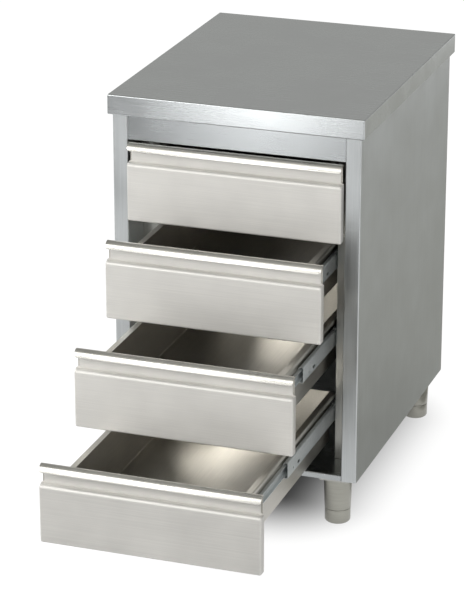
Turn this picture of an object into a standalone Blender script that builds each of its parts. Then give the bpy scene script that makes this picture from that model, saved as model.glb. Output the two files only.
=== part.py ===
"""Stainless steel drawer cabinet: a folded steel carcass on four levelling feet, under a worktop,
with four drawers on telescopic runners. Metres, +Z up, the drawers open towards -Y."""

import math

import bmesh
import bpy
from mathutils import Matrix, Vector

# Overall sizes
WORKTOP_WIDTH = 0.520
WORKTOP_DEPTH = 0.650
WORKTOP_HEIGHT = 0.850
APRON_HEIGHT = 0.040
OVERHANG = 0.008
CORE_THICKNESS = 0.018

# Sheet metal and the gaps between pieces
CASING_SHEET = 0.0015
DRAWER_SHEET = 0.0012
RUNNER_SHEET = 0.0012
FIT_GAP = 0.0003

# Carcass
STILE_WIDTH = 0.031
STILE_RETURN = 0.078
BACK_RETURN = 0.025
CARRIER_DEPTH = 0.520
FASCIA_HEIGHT = 0.051
FASCIA_RETURN = 0.025
FASCIA_RECESS = 0.002
FASCIA_GAP = 0.002
BASE_EDGE = 0.012
BASE_RECESS = 0.001

# Levelling feet
FOOT_HEIGHT = 0.100
FOOT_FROM_SIDE = 0.047
FOOT_FROM_FRONT = 0.034
LEG_PLATE_SIDE = 0.064
LEG_PLATE_THICKNESS = 0.003
LEG_PLATE_CORNER = 0.006
SLEEVE_TOP_RADIUS = 0.0285
SLEEVE_BOTTOM_RADIUS = 0.0262
SLEEVE_WALL = 0.0015
SLEEVE_NUT_HEIGHT = 0.008
GLIDE_HEIGHT = 0.030
GLIDE_RADIUS = 0.0258
GLIDE_ROUNDING = 0.006
STEM_RADIUS = 0.010
STEM_LENGTH = 0.052
STEM_CLEARANCE = 0.0004
TURNED_STEPS = 32

# Drawer fronts
DRAWER_OPENINGS = (0.0, 0.1195, 0.2845, 0.4645)
FRONT_GAP = 0.005
FRONT_SIDE_GAP = 0.004
FRONT_INSET = 0.0015
SKIN_DEPTH = 0.0145
SHOULDER_RADIUS = 0.006
SHOULDER_STEPS = 4
GRIP_HEIGHT = 0.0265
LIP_DROP = 0.0145
LIP_OVERHANG = 0.002
LIP_BACK_RADIUS = 0.003
LIP_BACK_STEPS = 3
LIP_FRONT_STEPS = 6
PLATE_FLANGE = 0.009

# Drawer boxes
BOX_FROM_STILE = 0.053
BOX_LENGTH = 0.550
BOX_HEIGHT = 0.106
RIM_BELOW_FRONT = 0.023
RIM_WIDTH = 0.0115
RIM_TURN = 0.008

# Telescopic runners
RUNNER_SPACE = 0.016
RUNNER_SHORT_OF_BOX = 0.021
RUNNER_FROM_FRONT = 0.016
FIXED_RUNNER_INSET = 0.010
RUNNER_HEIGHT = 0.036
RUNNER_BELOW_FRONT = 0.048
RUNNER_PLAY = 0.0004
OUTER_FLANGE = 0.0105
MIDDLE_OFFSET = 0.0010
MIDDLE_FLANGE = 0.0100
INNER_FLANGE = 0.0085

# Places worked out from the sizes above; the origin is under the middle of the open cabinet
DRAWER_COUNT = len(DRAWER_OPENINGS)
PANEL_DEPTH = SKIN_DEPTH + FIT_GAP + DRAWER_SHEET
DRAWER_REACH = PANEL_DEPTH - FRONT_INSET + LIP_OVERHANG - OVERHANG + max(DRAWER_OPENINGS)
WORKTOP_FRONT_Y = (DRAWER_REACH - WORKTOP_DEPTH) / 2
STILE_Y = WORKTOP_FRONT_Y + OVERHANG
CASING_BACK_Y = WORKTOP_FRONT_Y + WORKTOP_DEPTH - OVERHANG
CASING_HALF = WORKTOP_WIDTH / 2 - OVERHANG
BAY_HALF = CASING_HALF - STILE_WIDTH
CORE_BOTTOM = WORKTOP_HEIGHT - CASING_SHEET - FIT_GAP - CORE_THICKNESS
CASING_TOP = CORE_BOTTOM - FIT_GAP
BACK_PANEL_Y = CASING_BACK_Y - CASING_SHEET - FIT_GAP
INNER_BACK_Y = BACK_PANEL_Y - CASING_SHEET - FIT_GAP
BASE_TOP = FOOT_HEIGHT + BASE_EDGE
FASCIA_BOTTOM = WORKTOP_HEIGHT - APRON_HEIGHT - FASCIA_HEIGHT
FRONTS_SPAN = FASCIA_BOTTOM - FASCIA_GAP - BASE_TOP
FRONT_HEIGHT = FRONTS_SPAN / DRAWER_COUNT - FRONT_GAP
FRONT_HALF = BAY_HALF - FRONT_SIDE_GAP
FACE_HEIGHT = FRONT_HEIGHT - LIP_DROP - GRIP_HEIGHT
FACE_Y = STILE_Y + FRONT_INSET - PANEL_DEPTH
BOX_FRONT_Y = FACE_Y + PANEL_DEPTH + FIT_GAP
BOX_HALF = BAY_HALF - BOX_FROM_STILE
CARRIER_HALF = BOX_HALF + RUNNER_SPACE
CARRIER_Y = STILE_Y + STILE_RETURN + FIT_GAP
RUNNER_LENGTH = BOX_LENGTH - RUNNER_SHORT_OF_BOX
FIXED_RUNNER_LENGTH = CARRIER_DEPTH - 2 * FIXED_RUNNER_INSET
LEG_TOP = FOOT_HEIGHT - FIT_GAP
SLEEVE_TOP = LEG_TOP - LEG_PLATE_THICKNESS - FIT_GAP
SLEEVE_BOTTOM = GLIDE_HEIGHT + FIT_GAP
SIDES = {"left": -1, "right": 1}
FOOT_X = CASING_HALF - FOOT_FROM_SIDE
FOOT_Y = {"front": STILE_Y + FOOT_FROM_FRONT, "rear": CASING_BACK_Y - FOOT_FROM_FRONT}


def clear_scene():
    for old in list(bpy.data.objects):
        bpy.data.objects.remove(old, do_unlink=True)


def metal(name, colour, roughness, metallic=1.0):
    """A plain Principled material in linear colour."""
    material = bpy.data.materials.new(name)
    material.use_nodes = True
    shader = material.node_tree.nodes["Principled BSDF"]
    shader.inputs["Base Color"].default_value = (*colour, 1.0)
    shader.inputs["Roughness"].default_value = roughness
    shader.inputs["Metallic"].default_value = metallic
    return material


def add_object(name, mesh, material, parent=None):
    piece = bpy.data.objects.new(name, mesh)
    piece.data.materials.append(material)
    cabinet.objects.link(piece)
    piece.parent = parent
    return piece


def mesh_from(name, bm):
    mesh = bpy.data.meshes.new(name)
    bm.to_mesh(mesh)
    bm.free()
    return mesh


def thicken(piece, sheet, outwards=False):
    """Gives an open surface its sheet thickness, on the inside of its faces unless outwards."""
    solidify = piece.modifiers.new("sheet", "SOLIDIFY")
    solidify.thickness = sheet
    solidify.offset = 1.0 if outwards else -1.0
    solidify.use_even_offset = True
    solidify.use_quality_normals = True
    return piece


def extrude_edges(bm, edges, move):
    """Extrudes a chain of edges by one vector and returns the new edges."""
    made = bmesh.ops.extrude_edge_only(bm, edges=edges)["geom"]
    corners = [item for item in made if isinstance(item, bmesh.types.BMVert)]
    bmesh.ops.translate(bm, verts=corners, vec=Vector(move))
    return [item for item in made if isinstance(item, bmesh.types.BMEdge)]


def folded_sheet(name, start, length, folds, outside, sheet, material, parent=None):
    """A sheet folded along straight lines: one edge at start, swept by each fold in turn.

    outside is a direction that the first fold's outer face looks to."""
    bm = bmesh.new()
    ends = [bm.verts.new(Vector(start)), bm.verts.new(Vector(start) + Vector(length))]
    edges = [bm.edges.new(ends)]
    for fold in folds:
        edges = extrude_edges(bm, edges, fold)
    bm.normal_update()
    bm.faces.ensure_lookup_table()
    if bm.faces[0].normal.dot(Vector(outside)) < 0:
        bmesh.ops.reverse_faces(bm, faces=bm.faces[:])
    return thicken(add_object(name, mesh_from(name, bm), material, parent), sheet)


def box_mesh(low, high):
    """A bmesh cuboid between two corners."""
    bm = bmesh.new()
    size = Vector(high) - Vector(low)
    middle = (Vector(high) + Vector(low)) / 2
    bmesh.ops.create_cube(bm, size=1.0, matrix=Matrix.Translation(middle) @ Matrix.Diagonal((*size, 1.0)))
    return bm


def face_towards(bm, direction):
    return max(bm.faces, key=lambda face: face.normal.dot(Vector(direction)))


def turned(name, profile, place, material, closed):
    """A turned piece: the profile of (radius, height) points runs down its outer side."""
    bm = bmesh.new()
    points = [bm.verts.new((radius, 0.0, height)) for radius, height in profile]
    for first, second in zip(points, points[1:]):
        bm.edges.new((first, second))
    if closed:
        bm.edges.new((points[-1], points[0]))
    piece = add_object(name, mesh_from(name, bm), material)
    piece.location = place
    screw = piece.modifiers.new("turn", "SCREW")
    screw.steps = screw.render_steps = TURNED_STEPS
    screw.use_merge_vertices = True
    screw.merge_threshold = 0.00005
    screw.use_smooth_shade = False
    return piece


def moving_empty(name, opening):
    """The parent of what moves together, at its place along the line of travel."""
    empty = bpy.data.objects.new(name, None)
    empty.location = (0.0, -opening, 0.0)
    cabinet.objects.link(empty)
    return empty


def make_worktop():
    """A pan with a folded edge all round, hemmed in under the edge, on a board core."""
    bm = box_mesh(
        (-WORKTOP_WIDTH / 2, WORKTOP_FRONT_Y, WORKTOP_HEIGHT - APRON_HEIGHT),
        (WORKTOP_WIDTH / 2, WORKTOP_FRONT_Y + WORKTOP_DEPTH, WORKTOP_HEIGHT),
    )
    under = face_towards(bm, (0, 0, -1))
    bmesh.ops.inset_region(bm, faces=[under], thickness=OVERHANG - FIT_GAP)
    bmesh.ops.delete(bm, geom=[under], context="FACES_ONLY")
    thicken(add_object("worktop", mesh_from("worktop", bm), satin_steel), CASING_SHEET)
    inset = CASING_SHEET + FIT_GAP
    core = box_mesh(
        (-WORKTOP_WIDTH / 2 + inset, WORKTOP_FRONT_Y + inset, CORE_BOTTOM),
        (WORKTOP_WIDTH / 2 - inset, WORKTOP_FRONT_Y + WORKTOP_DEPTH - inset, CORE_BOTTOM + CORE_THICKNESS),
    )
    add_object("worktop_core", mesh_from("worktop_core", core), board)


def make_carcass():
    """Side panels with folded front stiles, rails and runner carriers in them, back, fascia and base."""
    carrier_bottom = BASE_TOP + FIT_GAP
    carrier_width = CASING_HALF - CASING_SHEET - FIT_GAP - CARRIER_HALF
    rail_width = STILE_WIDTH - 2 * (CASING_SHEET + FIT_GAP)
    rail_front = STILE_Y + CASING_SHEET + FIT_GAP
    for side, sign in SIDES.items():
        folded_sheet(
            f"side_panel_{side}",
            (sign * (CASING_HALF - BACK_RETURN), CASING_BACK_Y, FOOT_HEIGHT),
            (0, 0, CASING_TOP - FOOT_HEIGHT),
            [
                (sign * BACK_RETURN, 0, 0),
                (0, STILE_Y - CASING_BACK_Y, 0),
                (-sign * STILE_WIDTH, 0, 0),
                (0, STILE_RETURN, 0),
            ],
            (0, 1, 0),
            CASING_SHEET,
            satin_steel,
        )
        folded_sheet(
            f"base_rail_{side}",
            (sign * (BAY_HALF + CASING_SHEET + FIT_GAP), rail_front, FOOT_HEIGHT),
            (0, INNER_BACK_Y - rail_front, 0),
            [(sign * rail_width, 0, 0), (0, 0, BASE_EDGE)],
            (0, 0, -1),
            CASING_SHEET,
            satin_steel,
        )
        folded_sheet(
            f"runner_carrier_{side}",
            (sign * (CARRIER_HALF + carrier_width), CARRIER_Y + CARRIER_DEPTH, carrier_bottom),
            (0, 0, CASING_TOP - carrier_bottom),
            [
                (-sign * carrier_width, 0, 0),
                (0, -CARRIER_DEPTH, 0),
                (sign * carrier_width, 0, 0),
            ],
            (0, 1, 0),
            CASING_SHEET,
            satin_steel,
        )
    back_half = CASING_HALF - CASING_SHEET - FIT_GAP
    back = box_mesh(
        (-back_half, BACK_PANEL_Y - CASING_SHEET, FOOT_HEIGHT),
        (back_half, BACK_PANEL_Y, CASING_TOP),
    )
    add_object("back_panel", mesh_from("back_panel", back), satin_steel)
    bay_width = (2 * (BAY_HALF - FIT_GAP), 0, 0)
    fascia_y = STILE_Y + FASCIA_RECESS
    folded_sheet(
        "fascia_panel",
        (-BAY_HALF + FIT_GAP, fascia_y + FASCIA_RETURN, FASCIA_BOTTOM),
        bay_width,
        [
            (0, -FASCIA_RETURN, 0),
            (0, 0, CASING_TOP - FASCIA_BOTTOM),
            (0, FASCIA_RETURN, 0),
        ],
        (0, 0, -1),
        CASING_SHEET,
        satin_steel,
    )
    base_y = STILE_Y + BASE_RECESS
    folded_sheet(
        "base_panel",
        (-BAY_HALF + FIT_GAP, base_y, FOOT_HEIGHT),
        bay_width,
        [
            (0, 0, BASE_EDGE),
            (0, INNER_BACK_Y - base_y, 0),
            (0, 0, -BASE_EDGE),
        ],
        (0, -1, 0),
        CASING_SHEET,
        satin_steel,
    )


def make_foot(end, side):
    """A plate under the carcass, a tapered sleeve on it, and a glide screwed into the sleeve."""
    name = f"{end}_{side}"
    x = SIDES[side] * FOOT_X
    y = FOOT_Y[end]
    half = LEG_PLATE_SIDE / 2
    plate = box_mesh((x - half, y - half, LEG_TOP - LEG_PLATE_THICKNESS), (x + half, y + half, LEG_TOP))
    corners = [edge for edge in plate.edges if abs(edge.verts[0].co.z - edge.verts[1].co.z) > FIT_GAP]
    bmesh.ops.bevel(plate, geom=corners, offset=LEG_PLATE_CORNER, segments=2, affect="EDGES", profile=0.5)
    add_object(f"leg_plate_{name}", mesh_from(f"leg_plate_{name}", plate), satin_steel)
    bore = STEM_RADIUS + STEM_CLEARANCE
    nut_top = SLEEVE_BOTTOM + SLEEVE_NUT_HEIGHT
    sleeve = [
        (SLEEVE_TOP_RADIUS, SLEEVE_TOP),
        (SLEEVE_BOTTOM_RADIUS, SLEEVE_BOTTOM),
        (bore, SLEEVE_BOTTOM),
        (bore, nut_top),
        (SLEEVE_BOTTOM_RADIUS - SLEEVE_WALL, nut_top),
        (SLEEVE_TOP_RADIUS - SLEEVE_WALL, SLEEVE_TOP),
    ]
    turned(f"leg_sleeve_{name}", sleeve, (x, y, 0), polished_steel, closed=True)
    quarter = [math.radians(angle) for angle in (0, 30, 60, 90)]
    toe = GLIDE_RADIUS - GLIDE_ROUNDING
    glide = [
        (0.0, GLIDE_HEIGHT + STEM_LENGTH),
        (STEM_RADIUS, GLIDE_HEIGHT + STEM_LENGTH),
        (STEM_RADIUS, GLIDE_HEIGHT),
        (GLIDE_RADIUS, GLIDE_HEIGHT),
    ]
    glide += [
        (toe + GLIDE_ROUNDING * math.cos(angle), GLIDE_ROUNDING * (1 - math.sin(angle))) for angle in quarter
    ]
    glide.append((0.0, 0.0))
    turned(f"leg_glide_{name}", glide, (x, y, 0), polished_steel, closed=False)


def front_bottom(index):
    """The height of a drawer front's lower edge; drawers count from the top."""
    return BASE_TOP + FRONT_GAP + (DRAWER_COUNT - 1 - index) * (FRONT_HEIGHT + FRONT_GAP)


def lip_path():
    """The grip lip's outer line as (depth behind the face, height): a small round, then a long one."""
    back_y = SKIN_DEPTH - LIP_BACK_RADIUS
    path = []
    for step in range(LIP_BACK_STEPS + 1):
        angle = math.radians(90) * step / LIP_BACK_STEPS
        path.append(
            (
                back_y + LIP_BACK_RADIUS * math.cos(angle),
                FRONT_HEIGHT - LIP_BACK_RADIUS * (1 - math.sin(angle)),
            )
        )
    for step in range(1, LIP_FRONT_STEPS + 1):
        angle = math.radians(90) * step / LIP_FRONT_STEPS
        path.append(
            (
                back_y - (back_y + LIP_OVERHANG) * math.sin(angle),
                FRONT_HEIGHT - LIP_DROP * (1 - math.cos(angle)),
            )
        )
    return path


def make_front_skin(name, bottom, parent):
    """The face with its returns, a rounded shoulder stepping back, and the rolled grip lip above it."""
    low = (-FRONT_HALF + DRAWER_SHEET, FACE_Y + DRAWER_SHEET, bottom + DRAWER_SHEET)
    high = (FRONT_HALF - DRAWER_SHEET, FACE_Y + SKIN_DEPTH, bottom + FACE_HEIGHT - DRAWER_SHEET)
    bm = box_mesh(low, high)
    bmesh.ops.delete(bm, geom=[face_towards(bm, (0, 1, 0))], context="FACES_ONLY")
    shoulder = face_towards(bm, (0, 0, 1))
    rear_edge = max(shoulder.edges, key=lambda edge: sum(corner.co.y for corner in edge.verts))
    front_edge = min(shoulder.edges, key=lambda edge: sum(corner.co.y for corner in edge.verts))
    edges = [rear_edge]
    here = (SKIN_DEPTH, FACE_HEIGHT - DRAWER_SHEET)
    for there in lip_path():
        edges = extrude_edges(bm, edges, (0, there[0] - here[0], there[1] - here[1]))
        here = there
    bmesh.ops.bevel(
        bm, geom=[front_edge], offset=SHOULDER_RADIUS, segments=SHOULDER_STEPS, affect="EDGES", profile=0.5
    )
    bmesh.ops.recalc_face_normals(bm, faces=bm.faces[:])
    lowest = min(bm.faces, key=lambda face: face.calc_center_median().z)
    if lowest.normal.z > 0:
        bmesh.ops.reverse_faces(bm, faces=bm.faces[:])
    thicken(add_object(name, mesh_from(name, bm), satin_steel, parent), DRAWER_SHEET, outwards=True)


def make_box(name, rim_top, parent):
    """An open-topped tray whose side walls are folded out and down at the rim."""
    low = (-BOX_HALF, BOX_FRONT_Y, rim_top - BOX_HEIGHT)
    high = (BOX_HALF, BOX_FRONT_Y + BOX_LENGTH, rim_top - DRAWER_SHEET)
    bm = box_mesh(low, high)
    top = face_towards(bm, (0, 0, 1))
    rims = {
        sign: max(top.edges, key=lambda edge: sign * sum(corner.co.x for corner in edge.verts))
        for sign in SIDES.values()
    }
    bmesh.ops.delete(bm, geom=[top], context="FACES_ONLY")
    for sign, rim in rims.items():
        turned_out = extrude_edges(bm, [rim], (sign * RIM_WIDTH, 0, 0))
        extrude_edges(bm, turned_out, (0, 0, -RIM_TURN))
    thicken(add_object(name, mesh_from(name, bm), brushed_steel, parent), DRAWER_SHEET)


def runner_member(name, web_x, front_y, length, centre_z, height, flange, parent=None):
    """A channel along Y: its web stands at web_x and its flanges run by flange across the space."""
    folded_sheet(
        name,
        (web_x + flange, front_y, centre_z - height / 2),
        (0, length, 0),
        [(-flange, 0, 0), (0, 0, height), (flange, 0, 0)],
        (0, 0, -1),
        RUNNER_SHEET,
        zinc,
        parent,
    )


def make_drawer(index):
    """One drawer with its fixed, middle and drawer runners, at its opening in the rest pose."""
    name = f"drawer_{index + 1}"
    opening = DRAWER_OPENINGS[index]
    bottom = front_bottom(index)
    top = bottom + FRONT_HEIGHT
    slide = moving_empty(f"{name}_slide", opening)
    middle_slide = moving_empty(f"{name}_middle_slide", opening / 2)
    make_front_skin(f"{name}_front", bottom, slide)
    plate_half = FRONT_HALF - DRAWER_SHEET - FIT_GAP
    plate_bottom = bottom + DRAWER_SHEET + FIT_GAP
    folded_sheet(
        f"{name}_back_plate",
        (-plate_half, FACE_Y + PANEL_DEPTH - PLATE_FLANGE, plate_bottom),
        (2 * plate_half, 0, 0),
        [(0, PLATE_FLANGE, 0), (0, 0, top - LIP_BACK_RADIUS - plate_bottom)],
        (0, 0, -1),
        DRAWER_SHEET,
        brushed_steel,
        slide,
    )
    make_box(f"{name}_box", top - RIM_BELOW_FRONT, slide)
    runner_front = BOX_FRONT_Y + RUNNER_FROM_FRONT
    centre_z = top - RUNNER_BELOW_FRONT - RUNNER_HEIGHT / 2
    middle_height = RUNNER_HEIGHT - 2 * (RUNNER_SHEET + RUNNER_PLAY)
    inner_height = middle_height - 2 * (RUNNER_SHEET + RUNNER_PLAY)
    for side, sign in SIDES.items():
        outer_x = sign * (CARRIER_HALF - FIT_GAP)
        middle_x = outer_x - sign * (RUNNER_SHEET + MIDDLE_OFFSET)
        inner_x = sign * (BOX_HALF + FIT_GAP)
        runner_member(
            f"{name}_runner_fixed_{side}",
            outer_x,
            CARRIER_Y + FIXED_RUNNER_INSET,
            FIXED_RUNNER_LENGTH,
            centre_z,
            RUNNER_HEIGHT,
            -sign * OUTER_FLANGE,
        )
        runner_member(
            f"{name}_runner_middle_{side}",
            middle_x,
            runner_front,
            RUNNER_LENGTH,
            centre_z,
            middle_height,
            -sign * MIDDLE_FLANGE,
            middle_slide,
        )
        runner_member(
            f"{name}_runner_drawer_{side}",
            inner_x,
            runner_front,
            RUNNER_LENGTH,
            centre_z,
            inner_height,
            sign * INNER_FLANGE,
            slide,
        )


clear_scene()
cabinet = bpy.data.collections.new("drawer_cabinet")
bpy.context.scene.collection.children.link(cabinet)

satin_steel = metal("satin_stainless_steel", (0.42, 0.42, 0.41), 0.32)
brushed_steel = metal("brushed_stainless_steel", (0.50, 0.50, 0.48), 0.38)
polished_steel = metal("turned_stainless_steel", (0.40, 0.39, 0.36), 0.25)
zinc = metal("zinc_plated_steel", (0.45, 0.48, 0.48), 0.42)
board = metal("laminated_board", (0.55, 0.50, 0.42), 0.80, metallic=0.0)

make_worktop()
make_carcass()
for foot_end in FOOT_Y:
    for foot_side in SIDES:
        make_foot(foot_end, foot_side)
for drawer_index in range(DRAWER_COUNT):
    make_drawer(drawer_index)
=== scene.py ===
"""A stainless steel drawer cabinet on levelling feet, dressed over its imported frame."""

import math

import bmesh
import bpy
from mathutils import Matrix, Vector


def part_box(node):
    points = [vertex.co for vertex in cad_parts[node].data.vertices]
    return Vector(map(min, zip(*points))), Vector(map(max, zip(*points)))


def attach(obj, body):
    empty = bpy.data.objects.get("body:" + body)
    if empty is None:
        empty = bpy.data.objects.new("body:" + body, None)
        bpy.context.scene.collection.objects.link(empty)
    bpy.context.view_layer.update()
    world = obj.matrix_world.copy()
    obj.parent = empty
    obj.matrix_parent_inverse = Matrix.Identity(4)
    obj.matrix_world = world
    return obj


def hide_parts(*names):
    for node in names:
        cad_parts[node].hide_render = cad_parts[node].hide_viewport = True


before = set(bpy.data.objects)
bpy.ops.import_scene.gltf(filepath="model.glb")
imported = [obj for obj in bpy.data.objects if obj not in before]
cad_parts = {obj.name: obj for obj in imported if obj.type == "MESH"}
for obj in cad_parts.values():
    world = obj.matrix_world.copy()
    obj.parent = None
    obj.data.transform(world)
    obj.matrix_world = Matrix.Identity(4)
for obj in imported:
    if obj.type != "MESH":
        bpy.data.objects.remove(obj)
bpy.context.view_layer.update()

# Side panels. Each is one sheet of brushed stainless steel, folded at the front into a
# stile and a deep return into the drawer bay, and at the back into a narrow flange.
CASING_SHEET = 0.0015
CASING_FOLD = 0.0025
STILE_RETURN = 0.078
BACK_FLANGE = 0.025
SIDES = {"left": -1.0, "right": 1.0}
NEAR = 0.0004
FACING = 0.5
FOLD_ANGLE = math.radians(30)
CASING_COLOUR = "#b7babb"
CASING_ROUGHNESS = 0.38
MM_PER_METRE = 1000
GRAIN_WIDTH_MM = 1.6
GRAIN_LENGTH_MM = 150.0
UPRIGHT_GRAIN_MM = (GRAIN_WIDTH_MM, GRAIN_WIDTH_MM, GRAIN_LENGTH_MM)
GRAIN_DETAIL = 3.0
GRAIN_HARSHNESS = 0.6
CLOUD_MM = 90.0
CLOUD_DETAIL = 2.0
WORN_LEAST = 0.7
WORN_MOST = 1.3
SHINE_SPREAD = 0.12
RIDGE_HEIGHT = 0.0003


def linear(hex_colour):
    """The linear values of an sRGB hex colour, for a shader socket."""
    levels = [int(hex_colour[start:start + 2], 16) / 255 for start in (1, 3, 5)]
    # The sRGB curve has a short straight foot and is a power above it.
    return [
        level / 12.92 if level <= 0.04045 else ((level + 0.055) / 1.055) ** 2.4 for level in levels
    ] + [1.0]


def add_node(tree, kind, values=(), links=(), **settings):
    """Adds a shader node with its settings, its input values and its links."""
    node = tree.nodes.new(kind)
    for name, value in settings.items():
        setattr(node, name, value)
    for socket, value in dict(values).items():
        node.inputs[socket].default_value = value
    for socket, source in dict(links).items():
        tree.links.new(source, node.inputs[socket])
    return node


def grained_steel(name, colour, grain_mm, roughness, contrast=0.10, relief=0.05, metallic=1.0):
    """Steel as a belt, a mill or a lathe leaves it: streaked along its grain, softly clouded."""
    # The real grain is near 0.1 mm wide; it is drawn wider, because finer lines don't show.
    finish = bpy.data.materials.new(name)
    finish.use_nodes = True
    tree = finish.node_tree
    shader = tree.nodes["Principled BSDF"]
    shader.inputs["Metallic"].default_value = metallic
    place = add_node(tree, "ShaderNodeTexCoord").outputs["Object"]
    grains_per_metre = [MM_PER_METRE / size for size in grain_mm]
    stretched = add_node(tree, "ShaderNodeMapping", {"Scale": grains_per_metre}, {"Vector": place})
    grain = add_node(
        tree,
        "ShaderNodeTexNoise",
        {"Scale": 1.0, "Detail": GRAIN_DETAIL, "Roughness": GRAIN_HARSHNESS},
        {"Vector": stretched.outputs["Vector"]},
    ).outputs["Fac"]
    cloud = add_node(
        tree,
        "ShaderNodeTexNoise",
        {"Scale": MM_PER_METRE / CLOUD_MM, "Detail": CLOUD_DETAIL},
        {"Vector": place},
    ).outputs["Fac"]
    worn = add_node(
        tree, "ShaderNodeMath", links={0: grain, 1: cloud}, operation="ADD"
    ).outputs["Value"]
    shine = add_node(
        tree,
        "ShaderNodeMapRange",
        {
            "From Min": WORN_LEAST,
            "From Max": WORN_MOST,
            "To Min": (1 - SHINE_SPREAD) * roughness,
            "To Max": (1 + SHINE_SPREAD) * roughness,
        },
        {"Value": worn},
    )
    tree.links.new(shine.outputs["Result"], shader.inputs["Roughness"])
    tone = add_node(
        tree,
        "ShaderNodeMapRange",
        {
            "From Min": WORN_LEAST,
            "From Max": WORN_MOST,
            "To Min": 1 - contrast,
            "To Max": 1 + contrast,
        },
        {"Value": worn},
    )
    shade = add_node(
        tree,
        "ShaderNodeVectorMath",
        {0: linear(colour)[:3]},
        {"Scale": tone.outputs["Result"]},
        operation="SCALE",
    )
    tree.links.new(shade.outputs["Vector"], shader.inputs["Base Color"])
    ridges = add_node(
        tree, "ShaderNodeBump", {"Strength": relief, "Distance": RIDGE_HEIGHT}, {"Height": grain}
    )
    tree.links.new(ridges.outputs["Normal"], shader.inputs["Normal"])
    return finish


def add_block(name, low, high):
    """A cube set to a piece's box, with its place in its mesh, open for editing."""
    bpy.ops.object.select_all(action="DESELECT")
    bpy.ops.mesh.primitive_cube_add(size=1, location=(Vector(low) + Vector(high)) / 2)
    block = bpy.context.object
    block.name = block.data.name = name
    block.scale = Vector(high) - Vector(low)
    bpy.ops.object.transform_apply(location=True, rotation=True, scale=True)
    bpy.ops.object.mode_set(mode="EDIT")
    return block


def pick_faces(piece, test):
    """Selects the faces whose middle and outward direction pass the test."""
    bpy.ops.mesh.select_mode(type="FACE")
    bpy.ops.mesh.select_all(action="DESELECT")
    mesh = bmesh.from_edit_mesh(piece.data)
    mesh.normal_update()
    for face in mesh.faces:
        if test(face.calc_center_median(), face.normal):
            face.select_set(True)
    mesh.select_flush_mode()
    bmesh.update_edit_mesh(piece.data)


def pick_edges(piece, test):
    """Selects the edges whose middle passes the test."""
    bpy.ops.mesh.select_mode(type="EDGE")
    bpy.ops.mesh.select_all(action="DESELECT")
    mesh = bmesh.from_edit_mesh(piece.data)
    for edge in mesh.edges:
        if test((edge.verts[0].co + edge.verts[1].co) / 2):
            edge.select_set(True)
    mesh.select_flush_mode()
    bmesh.update_edit_mesh(piece.data)


def drop_faces(piece, test):
    """Opens a block where the sheet has no wall."""
    pick_faces(piece, test)
    bpy.ops.mesh.delete(type="ONLY_FACE")


def run_out(piece, test, *moves):
    """Runs the edges that pass the test on into new strips of sheet."""
    pick_edges(piece, test)
    for move in moves:
        bpy.ops.mesh.extrude_edges_move(TRANSFORM_OT_translate={"value": move})


def round_folds(piece, radius, steps=4, test=None):
    """Rounds the folds of a sheet, or those of them that pass the test."""
    bpy.ops.mesh.select_mode(type="EDGE")
    bpy.ops.mesh.select_all(action="DESELECT")
    mesh = bmesh.from_edit_mesh(piece.data)
    mesh.normal_update()
    for edge in mesh.edges:
        folded = len(edge.link_faces) == 2 and edge.calc_face_angle() > FOLD_ANGLE
        if folded and (test is None or test((edge.verts[0].co + edge.verts[1].co) / 2)):
            edge.select_set(True)
    mesh.select_flush_mode()
    bmesh.update_edit_mesh(piece.data)
    bpy.ops.mesh.bevel(offset=radius, segments=steps, affect="EDGES")


def press_sheet(piece, sheet):
    """Gives a folded sheet its thickness, inwards, and smooths its folds beside flat faces."""
    bpy.ops.mesh.select_all(action="SELECT")
    bpy.ops.mesh.normals_make_consistent(inside=False)
    bpy.ops.object.mode_set(mode="OBJECT")
    wall = piece.modifiers.new("sheet", "SOLIDIFY")
    wall.thickness = sheet
    wall.offset = -1.0
    wall.use_even_offset = True
    bpy.ops.object.modifier_apply(modifier=wall.name)
    bpy.ops.object.shade_smooth_by_angle(angle=FOLD_ANGLE)
    flats = piece.modifiers.new("flat_faces", "WEIGHTED_NORMAL")
    flats.keep_sharp = True
    bpy.ops.object.modifier_apply(modifier=flats.name)


def finish_piece(piece, *finishes):
    """Gives a new piece its finish, or the finishes that its faces choose from."""
    piece.data.materials.clear()
    for finish in finishes:
        piece.data.materials.append(finish)


# Belt-ground stainless steel: a satin grey with upright streaks, which blurs what it mirrors.
casing_steel = grained_steel(
    "brushed_casing_steel", CASING_COLOUR, UPRIGHT_GRAIN_MM, CASING_ROUGHNESS
)
for side, outward in SIDES.items():
    low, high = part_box(f"side_panel_{side}")
    bay_x = low.x if outward > 0 else high.x
    panel = add_block(f"side_sheet_{side}", low, high)
    drop_faces(panel, lambda middle, way: abs(way.z) > FACING or way.x * outward < -FACING)
    run_out(
        panel,
        lambda middle: abs(middle.x - bay_x) < NEAR and abs(middle.y - low.y) < NEAR,
        (0, STILE_RETURN, 0),
    )
    pick_edges(
        panel, lambda middle: abs(middle.x - bay_x) < NEAR and abs(middle.y - high.y) < NEAR
    )
    bpy.ops.transform.translate(value=(outward * (high.x - low.x - BACK_FLANGE), 0, 0))
    round_folds(panel, CASING_FOLD)
    press_sheet(panel, CASING_SHEET)
    finish_piece(panel, casing_steel)
    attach(panel, "cabinet")
    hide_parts(f"side_panel_{side}")

# Inner frame. The base rails and the runner carriers are folded from the same sheet, welded
# inside the sides before the drawers go in, and left as they come from the mill.
FRAME_COLOUR = "#a9a9a5"
FRAME_GRAIN_MM = (2.5, 2.5, 60.0)
FRAME_ROUGHNESS = 0.40


def dress(node, finish):
    """Gives a CAD piece that keeps its shape its finish."""
    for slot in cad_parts[node].material_slots:
        slot.material = finish


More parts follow.
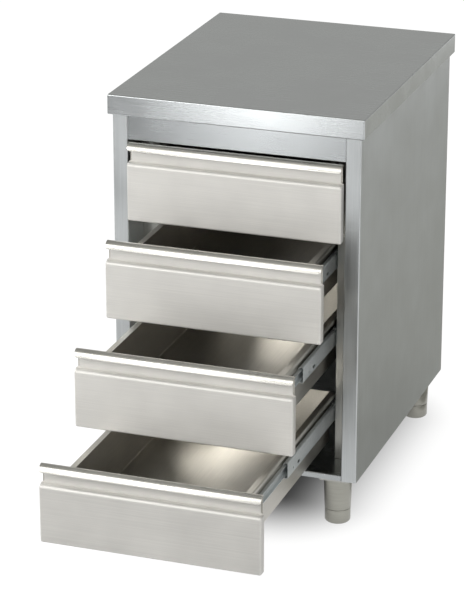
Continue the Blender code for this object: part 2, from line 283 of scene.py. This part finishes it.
# Mill-finish steel: a plain, slightly warm grey, a little duller than the ground sheet.
mill_steel = grained_steel("mill_finish_steel", FRAME_COLOUR, FRAME_GRAIN_MM, FRAME_ROUGHNESS)
for side in SIDES:
    dress(f"base_rail_{side}", mill_steel)
    dress(f"runner_carrier_{side}", mill_steel)

# Back panel. A flat sheet behind the flanges of the sides, spot welded to them, with the
# same belt-ground face as the sides.
dress("back_panel", casing_steel)

# Fascia and base panel. Two strips folded to a channel: one closes the front under the
# worktop, the other is the floor of the casing and shows its thin front edge.
# The casing steel's grey, darkened as painted shade for the fascia and the base panel's edge.
STRIP_COLOUR_PAINTED_SHADE = "#a4a7a8"
STRIP_OPEN_SIDES = {"fascia_panel": Vector((0, 1, 0)), "base_panel": Vector((0, 0, -1))}
CROSS_GRAIN_MM = (GRAIN_LENGTH_MM, GRAIN_WIDTH_MM, GRAIN_WIDTH_MM)
FINE_BELT = {"roughness": 0.26, "contrast": 0.06, "relief": 0.015}

# Steel ground with a finer belt: faint streaks from side to side, and clearer grades of light.
# Its grey is darker than the casing steel's, as painted shade.
strip_steel_painted_shade = grained_steel("brushed_strip_steel_painted_shade", STRIP_COLOUR_PAINTED_SHADE, CROSS_GRAIN_MM, **FINE_BELT)
for node, opened in STRIP_OPEN_SIDES.items():
    low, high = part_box(node)
    strip = add_block(f"{node}_sheet", low, high)
    drop_faces(strip, lambda middle, way: abs(way.x) > FACING or way.dot(opened) > FACING)
    round_folds(strip, CASING_FOLD)
    press_sheet(strip, CASING_SHEET)
    finish_piece(strip, strip_steel_painted_shade)
    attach(strip, "cabinet")
    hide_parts(node)

# Worktop. A pan of the same sheet with a folded edge on all four sides and a hem under it,
# its corners welded and ground, glued over a board that stiffens and deadens it.
WORKTOP_FOLD = 0.0022
HEM_WIDTH = 0.0077
BOARD_COLOURS = ("#8f7a5c", "#b59d79")
BOARD_FLAKE_MM = 4.0
BOARD_ROUGHNESS = 0.8
BOARD_RELIEF = 0.3
BOARD_FLAKE_HEIGHT = 0.0005
# The colour sockets of a Mix node share their names with others, so they go by their places.
FIRST_COLOUR, SECOND_COLOUR, MIXED_COLOUR = 6, 7, 2

low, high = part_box("worktop")
worktop = add_block("worktop_pan", low, high)
drop_faces(worktop, lambda middle, way: way.z < -FACING)
run_out(worktop, lambda middle: middle.z < low.z + NEAR, (0, 0, 0))
width, depth = high.x - low.x, high.y - low.y
bpy.ops.transform.resize(
    value=(1 - 2 * HEM_WIDTH / width, 1 - 2 * HEM_WIDTH / depth, 1),
    center_override=(low + high) / 2,
)
round_folds(worktop, WORKTOP_FOLD)
press_sheet(worktop, CASING_SHEET)
# The same fine belt on the paler casing steel: an even grey with faint streaks across it.
worktop_steel = grained_steel(
    "brushed_worktop_steel", CASING_COLOUR, CROSS_GRAIN_MM, **FINE_BELT
)
finish_piece(worktop, worktop_steel)
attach(worktop, "cabinet")
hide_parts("worktop")

# Chipboard: pressed wood flakes, matt and speckled in two browns.
chipboard = bpy.data.materials.new("pressed_chipboard")
chipboard.use_nodes = True
tree = chipboard.node_tree
shader = tree.nodes["Principled BSDF"]
place = add_node(tree, "ShaderNodeTexCoord").outputs["Object"]
flakes = add_node(
    tree, "ShaderNodeTexVoronoi", {"Scale": MM_PER_METRE / BOARD_FLAKE_MM}, {"Vector": place}
).outputs["Distance"]
speckle = add_node(
    tree,
    "ShaderNodeMix",
    {FIRST_COLOUR: linear(BOARD_COLOURS[0]), SECOND_COLOUR: linear(BOARD_COLOURS[1])},
    {0: flakes},
    data_type="RGBA",
)
chips = add_node(
    tree,
    "ShaderNodeBump",
    {"Strength": BOARD_RELIEF, "Distance": BOARD_FLAKE_HEIGHT},
    {"Height": flakes},
)
tree.links.new(speckle.outputs[MIXED_COLOUR], shader.inputs["Base Color"])
tree.links.new(chips.outputs["Normal"], shader.inputs["Normal"])
shader.inputs["Roughness"].default_value = BOARD_ROUGHNESS
dress("worktop_core", chipboard)

# Levelling feet. A tapered steel sleeve hangs from a plate under each corner, and a turned
# glide on a threaded stem screws into it to level the cabinet.
SLEEVE_TOP_RADIUS = 0.0285
SLEEVE_BOTTOM_RADIUS = 0.0262
SLEEVE_WALL = 0.0015
SLEEVE_EDGE = 0.0012
SLEEVE_BORE = 0.0104
SLEEVE_NUT = 0.008
GLIDE_RADIUS = 0.0258
GLIDE_EDGE = 0.0012
GLIDE_TOE = 0.006
GLIDE_TOE_STEPS = 6
GLIDE_HEIGHT = 0.030
STEM_RADIUS = 0.010
STEM_CHAMFER = 0.0015
TURNED_SIDES = 48
SEAM = 0.000004
FOOT_COLOUR = "#a3a29a"
FOOT_GRAIN_MM = (60.0, 60.0, 1.8)
FOOT_ROUGHNESS = 0.30
FOOT_METALLIC = 0.7


def part_circle(centre, radius, start, stop, steps=4):
    """Points on a part circle of a profile, the angles in degrees."""
    angles = [math.radians(start + (stop - start) * step / steps) for step in range(steps + 1)]
    return [(centre[0] + radius * math.cos(a), centre[1] + radius * math.sin(a)) for a in angles]


def turn(name, profile, axis, closed):
    """Turns a profile of (radius, height) points round a vertical axis, ring by ring."""
    bpy.ops.object.select_all(action="DESELECT")
    radius, height = profile[0]
    bpy.ops.mesh.primitive_circle_add(
        vertices=TURNED_SIDES,
        radius=radius,
        fill_type="NOTHING",
        location=(axis[0], axis[1], height),
    )
    piece = bpy.context.object
    piece.name = piece.data.name = name
    bpy.ops.object.transform_apply(location=True, rotation=True, scale=True)
    bpy.ops.object.mode_set(mode="EDIT")
    bpy.ops.mesh.select_all(action="SELECT")
    if not closed:
        bpy.ops.mesh.edge_face_add()
    bpy.ops.mesh.select_mode(type="EDGE")
    for new_radius, new_height in profile[1:]:
        rise = (0, 0, new_height - height)
        bpy.ops.mesh.extrude_edges_move(TRANSFORM_OT_translate={"value": rise})
        scale = new_radius / radius
        bpy.ops.transform.resize(
            value=(scale, scale, 1), center_override=(axis[0], axis[1], new_height)
        )
        radius, height = new_radius, new_height
    if closed:
        bpy.ops.mesh.select_all(action="SELECT")
        bpy.ops.mesh.remove_doubles(threshold=SEAM)
    else:
        bpy.ops.mesh.edge_face_add()
    bpy.ops.mesh.select_all(action="SELECT")
    bpy.ops.mesh.normals_make_consistent(inside=False)
    bpy.ops.object.mode_set(mode="OBJECT")
    bpy.ops.object.shade_smooth_by_angle(angle=FOLD_ANGLE)
    return piece


# Turned steel: a warm grey, half bright, with fine rings round the foot.
foot_steel = grained_steel(
    "turned_foot_steel", FOOT_COLOUR, FOOT_GRAIN_MM, FOOT_ROUGHNESS, metallic=FOOT_METALLIC
)
for end in ("front", "rear"):
    for side in SIDES:
        foot = f"{end}_{side}"
        dress(f"leg_plate_{foot}", mill_steel)
        low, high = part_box(f"leg_sleeve_{foot}")
        axis = (low + high) / 2
        edge = (SLEEVE_BOTTOM_RADIUS - SLEEVE_EDGE, low.z + SLEEVE_EDGE)
        profile = [
            (SLEEVE_BORE, low.z + SLEEVE_NUT),
            (SLEEVE_BOTTOM_RADIUS - SLEEVE_WALL, low.z + SLEEVE_NUT),
            (SLEEVE_TOP_RADIUS - SLEEVE_WALL, high.z),
            (SLEEVE_TOP_RADIUS, high.z),
            *part_circle(edge, SLEEVE_EDGE, 0, -90),
            (SLEEVE_BORE, low.z),
            (SLEEVE_BORE, low.z + SLEEVE_NUT),
        ]
        sleeve = turn(f"foot_sleeve_{foot}", profile, axis, closed=True)
        finish_piece(sleeve, foot_steel)
        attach(sleeve, "cabinet")
        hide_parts(f"leg_sleeve_{foot}")

        low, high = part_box(f"leg_glide_{foot}")
        toe = (GLIDE_RADIUS - GLIDE_TOE, low.z + GLIDE_TOE)
        shoulder = (GLIDE_RADIUS - GLIDE_EDGE, low.z + GLIDE_HEIGHT - GLIDE_EDGE)
        profile = [
            *part_circle(toe, GLIDE_TOE, -90, 0, GLIDE_TOE_STEPS),
            *part_circle(shoulder, GLIDE_EDGE, 0, 90),
            (STEM_RADIUS, low.z + GLIDE_HEIGHT),
            (STEM_RADIUS, high.z - STEM_CHAMFER),
            (STEM_RADIUS - STEM_CHAMFER, high.z),
        ]
        glide = turn(f"foot_glide_{foot}", profile, axis, closed=False)
        finish_piece(glide, foot_steel)
        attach(glide, f"glide_{foot}")
        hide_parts(f"leg_glide_{foot}")

# Telescopic runners. Each drawer hangs on two sets of three rolled channels of zinc plated
# steel: one on the carrier, one on the box, and a middle one with curled ball tracks, which
# is punched with a slot and a hole near its front end.
DRAWERS = ("drawer_1", "drawer_2", "drawer_3", "drawer_4")
FIRST = DRAWERS[0]
RUNNER_SHEET = 0.0012
RUNNER_FOLD = 0.0032
RUNNER_FOLD_STEPS = 5
TRACK_LIP = 0.0042
BALL_ROOM = 0.0046
HOLE_RADIUS = 0.0025
HOLE_FROM_END = 0.034
SLOT_RADIUS = 0.0030
SLOT_FROM_END = 0.062
SLOT_LENGTH = 0.008
HOLE_DROP = 0.006
PUNCH_SIDES = 26
PUNCH_REACH = 0.008
PUNCH_REAR_SHARE = 0.05
QUARTER_TURN = math.radians(90)
ZINC_COLOUR = "#d2d7d8"
ZINC_GRAIN_MM = (6.0, 9.0, 6.0)
ZINC_ROUGHNESS = 0.38
ZINC_CONTRAST = 0.08
ZINC_METALLIC = 0.4


def punch(piece, place, radius, length=0.0):
    """Punches a round hole, or a slot of some length, through an upright web."""
    bpy.ops.object.select_all(action="DESELECT")
    bpy.ops.mesh.primitive_cylinder_add(
        vertices=PUNCH_SIDES,
        radius=radius,
        depth=PUNCH_REACH,
        location=place,
        rotation=(0, QUARTER_TURN, 0),
    )
    tool = bpy.context.object
    bpy.ops.object.transform_apply(location=True, rotation=True, scale=True)
    bpy.ops.object.mode_set(mode="EDIT")
    pick_edges(tool, lambda middle: middle.y > place[1] + PUNCH_REAR_SHARE * radius)
    bpy.ops.transform.translate(value=(0, length, 0))
    bpy.ops.object.mode_set(mode="OBJECT")
    bpy.context.view_layer.objects.active = piece
    cut = piece.modifiers.new("punched", "BOOLEAN")
    cut.object = tool
    cut.operation = "DIFFERENCE"
    bpy.ops.object.modifier_apply(modifier=cut.name)
    bpy.data.objects.remove(tool, do_unlink=True)


def copy_to_drawers(pattern, made, node):
    """The first drawer's piece and a copy of it, with its own mesh, for each other drawer."""
    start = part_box(node.format(FIRST))[0]
    pieces = {FIRST: pattern}
    for drawer in DRAWERS[1:]:
        twin = pattern.copy()
        twin.data = pattern.data.copy()
        twin.name = twin.data.name = made.format(drawer)
        twin.data.transform(Matrix.Translation(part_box(node.format(drawer))[0] - start))
        bpy.context.scene.collection.objects.link(twin)
        pieces[drawer] = twin
    return pieces


# Zinc plate: pale and faintly blue, soft rather than bright, with a slight mottle.
runner_zinc = grained_steel(
    "zinc_plated_steel",
    ZINC_COLOUR,
    ZINC_GRAIN_MM,
    ZINC_ROUGHNESS,
    contrast=ZINC_CONTRAST,
    metallic=ZINC_METALLIC,
)
for side, outward in SIDES.items():
    for member, opens, body in (
        ("fixed", -outward, "cabinet"),
        ("middle", -outward, "{}_middle_runners"),
        ("drawer", outward, "{}"),
    ):
        node = f"{{}}_runner_{member}_{side}"
        made = f"{{}}_{member}_channel_{side}"
        low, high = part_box(node.format(FIRST))
        if member == "drawer":
            low.z += BALL_ROOM
            high.z -= BALL_ROOM
        open_x, web_x = (low.x, high.x) if opens < 0 else (high.x, low.x)
        channel = add_block(made.format(FIRST), low, high)
        drop_faces(channel, lambda middle, way: abs(way.y) > FACING or way.x * opens > FACING)
        if member == "middle":
            for track_z, curl in ((low.z, TRACK_LIP), (high.z, -TRACK_LIP)):
                run_out(
                    channel,
                    lambda middle: (
                        abs(middle.x - open_x) < NEAR and abs(middle.z - track_z) < NEAR
                    ),
                    (0, 0, curl),
                )
        round_folds(channel, RUNNER_FOLD, RUNNER_FOLD_STEPS)
        press_sheet(channel, RUNNER_SHEET)
        if member == "middle":
            hole_z = (low.z + high.z) / 2 - HOLE_DROP
            punch(channel, (web_x, low.y + HOLE_FROM_END, hole_z), HOLE_RADIUS)
            punch(channel, (web_x, low.y + SLOT_FROM_END, hole_z), SLOT_RADIUS, SLOT_LENGTH)
        finish_piece(channel, runner_zinc)
        for drawer, runner in copy_to_drawers(channel, made, node).items():
            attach(runner, body.format(drawer))
            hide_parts(node.format(drawer))

# Drawer boxes. Open trays folded from one sheet, corners welded, with the long sides turned
# out and down at the rim so that they are stiff and safe to the hand.
BOX_SHEET = 0.0012
BOX_FOLD = 0.0025
RIM_WIDTH = 0.0115
RIM_TURN = 0.008
BOX_COLOUR = "#b8b5ae"
BOX_GRAIN_MM = (3.0, 90.0, 3.0)
BOX_ROUGHNESS = 0.34
BOX_METALLIC = 0.90

low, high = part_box(f"{FIRST}_box")
wall_x = high.x - RIM_WIDTH - BOX_SHEET
tray = add_block(f"{FIRST}_tray", (-wall_x, low.y, low.z), (wall_x, high.y, high.z))
drop_faces(tray, lambda middle, way: way.z > FACING)
for outward in SIDES.values():
    run_out(
        tray,
        lambda middle: abs(middle.x - outward * wall_x) < NEAR and middle.z > high.z - NEAR,
        (outward * (RIM_WIDTH + BOX_SHEET), 0, 0),
        (0, 0, -RIM_TURN),
    )
round_folds(tray, BOX_FOLD)
press_sheet(tray, BOX_SHEET)
# Mill-finish sheet: a warm grey with drawn lines along the drawer, which mirrors its own walls
# softly.
box_steel = grained_steel(
    "mill_finish_box_steel", BOX_COLOUR, BOX_GRAIN_MM, BOX_ROUGHNESS, metallic=BOX_METALLIC
)
finish_piece(tray, box_steel)
for drawer, box in copy_to_drawers(tray, "{}_tray", "{}_box").items():
    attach(box, drawer)
    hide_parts(f"{drawer}_box")

# Drawer fronts. One sheet makes the face, its returns, a rounded shoulder, the recessed strip
# behind the fingers and the rolled grip lip; a flat plate closes it from behind.
FRONT_SHEET = 0.0012
FRONT_FOLD = 0.0030
FRONT_FOLD_STEPS = 3
FACE_HEIGHT = 0.11525
SKIN_DEPTH = 0.0145
SHOULDER_RADIUS = 0.006
SHOULDER_STEPS = 10
STRIP_INSET = 0.0045
STRIP_SHOULDER = 0.0048
LIP_DROP = 0.0145
LIP_OVERHANG = 0.002
LIP_BACK_RADIUS = 0.003
LIP_BACK_STEPS = 8
LIP_FRONT_STEPS = 16
LIP_CORNER = 0.006
FRONT_COLOUR = "#dcdad6"
FRONT_ROUGHNESS = 0.52
FRONT_CONTRAST = 0.07
FRONT_METALLIC = 0.42
LIP_COLOUR = "#d0cec8"
LIP_ROUGHNESS = 0.28


def shift_corner(piece, place, move):
    """Moves the corner of a piece that stands at a place."""
    bpy.ops.mesh.select_mode(type="VERT")
    bpy.ops.mesh.select_all(action="DESELECT")
    mesh = bmesh.from_edit_mesh(piece.data)
    for corner in mesh.verts:
        if (corner.co - Vector(place)).length < NEAR:
            corner.select_set(True)
    mesh.select_flush_mode()
    bmesh.update_edit_mesh(piece.data)
    bpy.ops.transform.translate(value=move)


low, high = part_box(f"{FIRST}_front")
face_y = low.y + LIP_OVERHANG
skin_y = face_y + SKIN_DEPTH
crown_y = skin_y - LIP_BACK_RADIUS
shoulder_z = low.z + FACE_HEIGHT
lip_edge_z = high.z - LIP_DROP
front = add_block(
    f"{FIRST}_front_sheet", (low.x, face_y, low.z), (high.x, skin_y, shoulder_z)
)
drop_faces(front, lambda middle, way: way.y > FACING)

# The strip rises from the shoulder, and the sheet rolls over at its top into the lip.
strip_heights = (shoulder_z + STRIP_SHOULDER, lip_edge_z)
lip_front = []
for step in range(1, LIP_FRONT_STEPS + 1):
    angle = QUARTER_TURN * step / LIP_FRONT_STEPS
    lip_y = crown_y - (crown_y - low.y) * math.sin(angle)
    lip_front.append((lip_y, high.z - LIP_DROP * (1 - math.cos(angle))))
sheet_line = [
    (skin_y, shoulder_z),
    *[(skin_y, height) for height in strip_heights],
    *part_circle((crown_y, high.z - LIP_BACK_RADIUS), LIP_BACK_RADIUS, 0, 90, LIP_BACK_STEPS),
    *lip_front,
]
steps_up = [
    (0, there[0] - here[0], there[1] - here[1]) for here, there in zip(sheet_line, sheet_line[1:])
]
run_out(
    front, lambda middle: middle.y > skin_y - NEAR and middle.z > shoulder_z - NEAR, *steps_up
)

# The strip is a little narrower than the face and the lip, and the free corners of the lip
# are cut round.
for outward in SIDES.values():
    end_x = outward * high.x
    for height in strip_heights:
        shift_corner(front, (end_x, skin_y, height), (-outward * STRIP_INSET, 0, 0))
    for lip_y, lip_z in lip_front:
        rise = lip_z - lip_edge_z
        if rise < LIP_CORNER:
            cut_back = LIP_CORNER - math.sqrt(LIP_CORNER**2 - (LIP_CORNER - rise) ** 2)
            shift_corner(front, (end_x, lip_y, lip_z), (-outward * cut_back, 0, 0))
round_folds(
    front,
    SHOULDER_RADIUS,
    SHOULDER_STEPS,
    lambda middle: middle.y < face_y + NEAR and abs(middle.z - shoulder_z) < NEAR,
)
round_folds(front, FRONT_FOLD, FRONT_FOLD_STEPS)
press_sheet(front, FRONT_SHEET)
# Satin steel: pale and milky, with fine lines from end to end and hardly a mirror image.
front_steel = grained_steel(
    "satin_front_steel",
    FRONT_COLOUR,
    CROSS_GRAIN_MM,
    FRONT_ROUGHNESS,
    contrast=FRONT_CONTRAST,
    metallic=FRONT_METALLIC,
)
# The lip is rolled and rubbed bright by hands, so it mirrors more sharply than the face.
lip_steel = grained_steel("rolled_lip_steel", LIP_COLOUR, CROSS_GRAIN_MM, LIP_ROUGHNESS)
finish_piece(front, front_steel, lip_steel)
for face in front.data.polygons:
    face.material_index = int(face.center.z > lip_edge_z - NEAR)
for drawer, skin in copy_to_drawers(front, "{}_front_sheet", "{}_front").items():
    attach(skin, drawer)
    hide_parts(f"{drawer}_front")
    dress(f"{drawer}_back_plate", box_steel)

# Studio. A pale floor that runs out of the picture, soft lamps from the left, the front and
# the right, grey cards for the steel to mirror, and a plain room that is bright in front and
# dim overhead, all seen by a long lens from the right.
FLOOR_SIZE = 24.0
FLOOR_COLOUR = "#727272"
# A block of floor under the cabinet, where the glow stays dim as a painted shadow.
PAINTED_SHADOW_MIDDLE = (0.0, 0.25, 0.0)
PAINTED_SHADOW_HALF = (0.06, 0.22, 1.0)
GLOW_COLOUR = "#ffffff"
GLOW_IN_PAINTED_SHADOW = 0.02
GLOW_FAR = 0.95
PAINTED_SHADOW_FADE = 0.25

bpy.ops.object.select_all(action="DESELECT")
bpy.ops.mesh.primitive_plane_add(size=FLOOR_SIZE, location=(0, 0, 0))
floor = bpy.context.object
floor.name = "studio_floor"
# Matt paint, which takes the shadow. To the camera and in mirrors it also glows to white, but not
# under the cabinet, where the dim floor is a painted shadow: the glow grows with the distance from
# a block of floor there.
floor_paint = bpy.data.materials.new("matt_floor_paint")
floor_paint.use_nodes = True
tree = floor_paint.node_tree
tree.nodes.clear()
paint = add_node(tree, "ShaderNodeBsdfDiffuse", {"Color": linear(FLOOR_COLOUR)})
away = add_node(tree, "ShaderNodeTexCoord").outputs["Object"]
for operation, values in (
    ("SUBTRACT", {1: PAINTED_SHADOW_MIDDLE}),
    ("ABSOLUTE", {}),
    ("SUBTRACT", {1: PAINTED_SHADOW_HALF}),
    ("MAXIMUM", {1: (0, 0, 0)}),
):
    away = add_node(
        tree, "ShaderNodeVectorMath", values, {0: away}, operation=operation
    ).outputs["Vector"]
distance = add_node(tree, "ShaderNodeVectorMath", links={0: away}, operation="LENGTH")
glow_outside_painted_shadow = add_node(
    tree,
    "ShaderNodeMapRange",
    {"From Min": 0.0, "From Max": PAINTED_SHADOW_FADE, "To Min": GLOW_IN_PAINTED_SHADOW, "To Max": GLOW_FAR},
    {"Value": distance.outputs["Value"]},
    interpolation_type="SMOOTHSTEP",
)
ray = add_node(tree, "ShaderNodeLightPath").outputs
strength = ray["Is Camera Ray"]
for operation, other in (
    ("MAXIMUM", ray["Is Glossy Ray"]),
    ("MAXIMUM", ray["Is Transmission Ray"]),
    ("MULTIPLY", glow_outside_painted_shadow.outputs["Result"]),
):
    strength = add_node(
        tree, "ShaderNodeMath", links={0: strength, 1: other}, operation=operation
    ).outputs["Value"]
glow = add_node(
    tree, "ShaderNodeEmission", {"Color": linear(GLOW_COLOUR)}, {"Strength": strength}
)
both = add_node(tree, "ShaderNodeAddShader", links={0: paint.outputs[0], 1: glow.outputs[0]})
add_node(tree, "ShaderNodeOutputMaterial", links={"Surface": both.outputs[0]})
finish_piece(floor, floor_paint)

# The room. Each grade goes along one direction, from its first place to its second, and from
# its first level to its second. The camera sees the room as plain white.
ROOM_COLOUR = "#fefefa"
ROOM_FRONT = 1.40
ROOM_HORIZON = 0.50
ROOM_BACK = 0.53
ROOM_RIGHT = 0.50
ROOM_OVERHEAD = 0.36
ROOM_GRADES = {
    "behind": ("Z", (0.40, 0.75), (ROOM_BACK, ROOM_OVERHEAD)),
    "before": ("Z", (0.05, 0.35), (ROOM_HORIZON, ROOM_FRONT)),
    "share_before": ("Y", (-0.80, -0.35), (1.0, 0.0)),
    "sideways": ("X", (0.0, 0.8), (1.0, ROOM_RIGHT)),
}
# The number sockets of a Mix node, by their places.
FIRST_LEVEL, SECOND_LEVEL = 2, 3

room = bpy.data.worlds.new("pale_room")
room.use_nodes = True
bpy.context.scene.world = room
tree = room.node_tree
background = tree.nodes["Background"]
background.inputs["Color"].default_value = linear(ROOM_COLOUR)
place = add_node(tree, "ShaderNodeTexCoord").outputs["Generated"]
directions = add_node(tree, "ShaderNodeSeparateXYZ", links={0: place}).outputs
levels = {}
for name, (direction, places, ends) in ROOM_GRADES.items():
    levels[name] = add_node(
        tree,
        "ShaderNodeMapRange",
        {"From Min": places[0], "From Max": places[1], "To Min": ends[0], "To Max": ends[1]},
        {"Value": directions[direction]},
        interpolation_type="SMOOTHSTEP",
    ).outputs["Result"]
room_level = add_node(
    tree,
    "ShaderNodeMix",
    links={
        0: levels["share_before"],
        FIRST_LEVEL: levels["behind"],
        SECOND_LEVEL: levels["before"],
    },
).outputs[0]
camera_ray = add_node(tree, "ShaderNodeLightPath").outputs["Is Camera Ray"]
for operation, other in (("MULTIPLY", levels["sideways"]), ("MAXIMUM", camera_ray)):
    room_level = add_node(
        tree, "ShaderNodeMath", links={0: room_level, 1: other}, operation=operation
    ).outputs["Value"]
tree.links.new(room_level, background.inputs["Strength"])


def hang_softbox(name, place, aim, width, height, watts):
    """A soft lamp, set down at a place and turned to what it lights."""
    lamp = bpy.data.lights.new(name, "AREA")
    lamp.shape = "RECTANGLE"
    lamp.size = width
    lamp.size_y = height
    lamp.energy = watts
    softbox = bpy.data.objects.new(name, lamp)
    softbox.location = place
    softbox.rotation_euler = (Vector(aim) - Vector(place)).to_track_quat("-Z", "Y").to_euler()
    softbox.visible_camera = False
    bpy.context.scene.collection.objects.link(softbox)
    return softbox


hang_softbox(
    "left_softbox", (-2.6, -0.2, 1.85), aim=(0, -0.3, 0.3), width=0.8, height=0.8, watts=25.0
)
hang_softbox(
    "front_softbox", (-1.4, -2.2, 1.7), aim=(0, -0.3, 0.40), width=1.6, height=1.2, watts=24.0
)
hang_softbox(
    "front_strip", (-0.78, -2.6, 0.35), aim=(0.05, -0.09, 0.7), width=0.20, height=0.7, watts=4.0
)
hang_softbox(
    "right_softbox", (2.6, -1.6, 1.0), aim=(0.2, -0.2, 0.4), width=2.4, height=1.8, watts=17.0
)

# One lamp lights the drawer boxes alone, from low down, so that it reaches their floors.
lit_boxes = bpy.data.collections.new("lit_boxes")
for drawer in DRAWERS:
    lit_boxes.objects.link(bpy.data.objects[f"{drawer}_tray"])
box_softbox = hang_softbox(
    "box_softbox", (-2.0, -2.5, 1.42), aim=(0, -0.1, 0.3), width=0.5, height=0.5, watts=320.0
)
box_softbox.light_linking.receiver_collection = lit_boxes

# Cards of matt paper lie on the floor where the steel mirrors it, and grade its faces from
# light to dark. Each has its near left corner, its far right corner and its grey.
CARD_LIFT = 0.003
CARD_ROUGHNESS = 0.9
CARDS = {
    "right_card": ((0.28, 0.05), (1.70, 3.60), "#f6f6f0"),
    "front_card": ((-0.55, -1.02), (0.25, -0.68), "#2c2c2c"),
    "left_card": ((-2.40, -9.00), (-0.86, -1.35), "#484848"),
    "far_card": ((-0.52, -9.00), (1.20, -2.00), "#787878"),
}
for name, (near, far, colour) in CARDS.items():
    bpy.ops.object.select_all(action="DESELECT")
    middle = [(near[axis] + far[axis]) / 2 for axis in (0, 1)]
    bpy.ops.mesh.primitive_plane_add(size=1, location=(*middle, CARD_LIFT))
    card = bpy.context.object
    card.name = name
    card.scale = (far[0] - near[0], far[1] - near[1], 1)
    bpy.ops.object.transform_apply(location=True, rotation=True, scale=True)
    card_paper = bpy.data.materials.new(f"{name}_paper")
    card_paper.use_nodes = True
    shader = card_paper.node_tree.nodes["Principled BSDF"]
    shader.inputs["Base Color"].default_value = linear(colour)
    shader.inputs["Roughness"].default_value = CARD_ROUGHNESS
    finish_piece(card, card_paper)
    card.visible_camera = False
    card.visible_shadow = False
    card.visible_diffuse = False

# The camera stands off to the right with a long lens and looks a little down.
CAMERA_PLACE = (1.687, -4.903, 2.393)
CAMERA_TURN = 19.35
CAMERA_TILT = 20.77
PICTURE_HEIGHT_PX = 600
FOCAL_LENGTH_PX = 2797.6
SENSOR_MM = 36.0

camera_data = bpy.data.cameras.new("camera")
camera_data.sensor_width = SENSOR_MM
camera_data.lens = FOCAL_LENGTH_PX / PICTURE_HEIGHT_PX * SENSOR_MM
camera = bpy.data.objects.new("camera", camera_data)
camera.location = CAMERA_PLACE
camera.rotation_euler = (math.radians(90 - CAMERA_TILT), 0, math.radians(CAMERA_TURN))
bpy.context.scene.collection.objects.link(camera)
bpy.context.scene.camera = camera
bpy.context.scene.view_settings.view_transform = "Standard"
